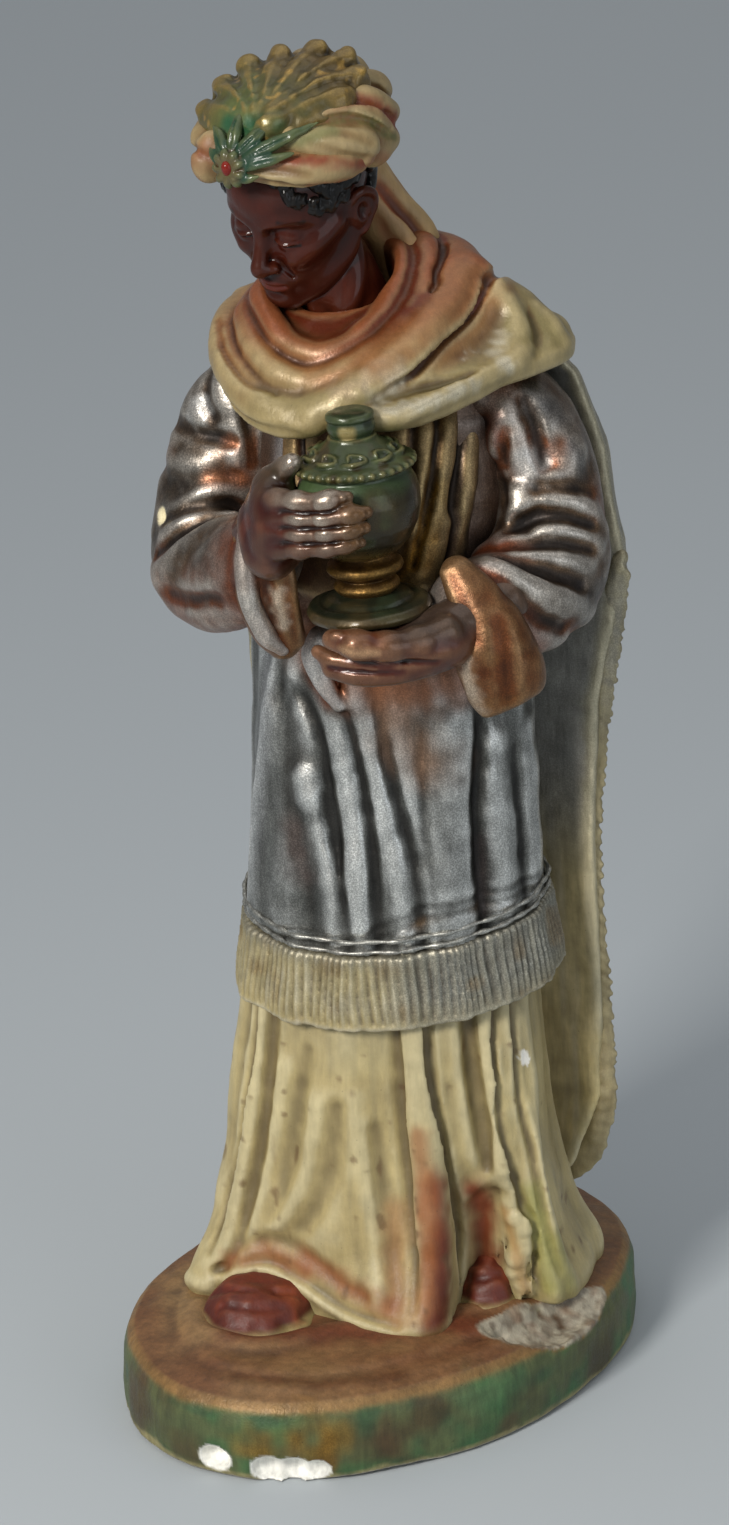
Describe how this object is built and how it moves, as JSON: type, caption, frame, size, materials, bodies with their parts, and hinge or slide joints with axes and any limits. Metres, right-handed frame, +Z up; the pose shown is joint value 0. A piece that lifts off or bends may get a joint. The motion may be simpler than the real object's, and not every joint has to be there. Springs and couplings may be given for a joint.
{
  "type": "crib figurine",
  "caption": "Painted plaster crib figure of a robed wise man in a turban, holding a covered urn in both hands, standing on an oval plinth.",
  "frame": {"origin": "centre of the plinth's flat underside", "axes": "+Z up from the plinth to the turban; -Y is the way the chest faces; +X is the figure's left"},
  "size_m": [0.0935, 0.1036, 0.2479],
  "materials": {
    "base_paint": "green and bronze paint on plaster, chipped at the rim",
    "robe_paint": "cream oil paint with grey-green and rust airbrushed folds",
    "shoe_paint": "satin red-brown paint",
    "silver_paint": "aluminium bronze paint, streaky, dark in the folds",
    "fringe_paint": "cream paint with silver dry-brushed over the strands",
    "copper_paint": "copper bronze paint, semi-gloss",
    "gold_paint": "gold bronze paint over brown",
    "shawl_paint": "cream and orange paint under a pearly varnish",
    "turban_paint": "cream paint with orange airbrushed folds",
    "plume_paint": "gold and green paint, dry-brushed",
    "skin_paint": "glossy dark brown varnished paint",
    "hand_paint": "red-brown paint with metallic rub",
    "hair_paint": "glossy black-brown paint",
    "urn_paint": "dark green paint over gold",
    "stone_paint": "glossy red paint"
  },
  "bodies": {
    "root": {"plinth": "base_paint", "long_robe": "robe_paint", "right_shoe": "shoe_paint", "left_shoe": "shoe_paint", "tunic": "silver_paint", "tunic_fringe": "fringe_paint", "tunic_hem_braid": "silver_paint", "tunic_breast": "gold_paint", "head": "skin_paint", "hair_left": "hair_paint", "hair_right": "hair_paint", "neck": "skin_paint", "turban_lower_wrap": "turban_paint", "turban_upper_wrap": "turban_paint", "turban_crown": "plume_paint", "turban_plumes": "plume_paint", "turban_tail": "turban_paint", "turban_brooch": "urn_paint", "brooch_stone": "stone_paint", "urn_foot": "urn_paint", "urn_stem": "gold_paint", "urn_bowl": "urn_paint", "urn_lid": "urn_paint", "urn_knob": "urn_paint", "right_hand": "hand_paint", "left_hand": "hand_paint", "right_sleeve": "silver_paint", "left_sleeve": "silver_paint", "right_cuff": "copper_paint", "left_cuff": "copper_paint", "shawl_inner_wrap": "shawl_paint", "shawl_middle_wrap": "shawl_paint", "shawl_outer_wrap": "shawl_paint", "shawl_cape": "shawl_paint", "cloak": "silver_paint", "cloak_fringe": "fringe_paint"}
  },
  "joints": []
}
